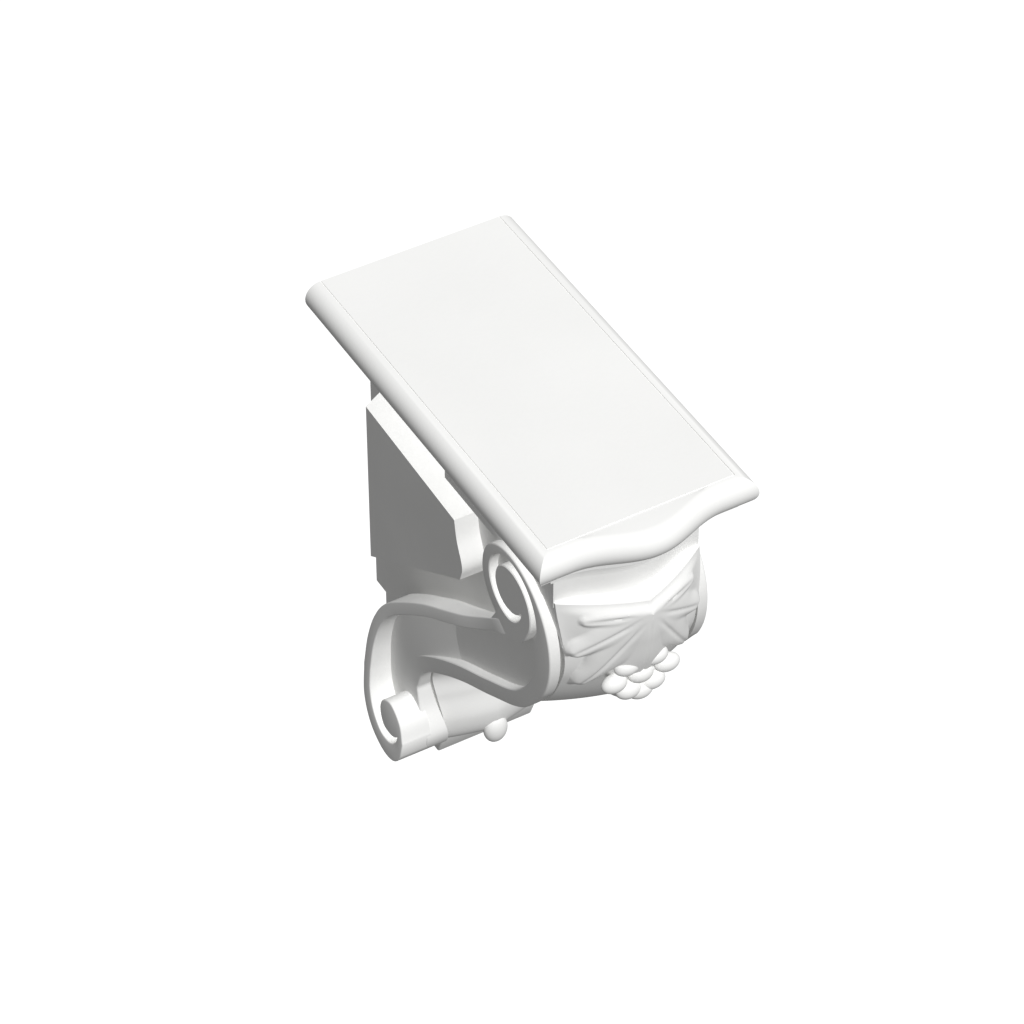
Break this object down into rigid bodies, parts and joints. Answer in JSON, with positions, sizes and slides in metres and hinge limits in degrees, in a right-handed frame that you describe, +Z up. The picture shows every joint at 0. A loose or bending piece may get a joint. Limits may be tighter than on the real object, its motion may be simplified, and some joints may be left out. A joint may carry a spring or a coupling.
{
  "type": "scroll corbel",
  "caption": "Wall corbel with a bowed cap slab on an S-scroll console, its front panel carved with a vine leaf and grapes, rolled at the foot.",
  "frame": {"origin": "on the flat wall face at the back, on the middle plane, 120 mm below the top of the cap slab", "axes": "+Z up, +Y into the wall, so the scrolled front with the leaf faces -Y; +X to the right seen from the front"},
  "size_m": [0.131, 0.2602, 0.306],
  "materials": {
    "plaster": "matt cast plaster"
  },
  "bodies": {
    "root": {"cap_slab": "plaster", "console": "plaster"}
  },
  "joints": []
}
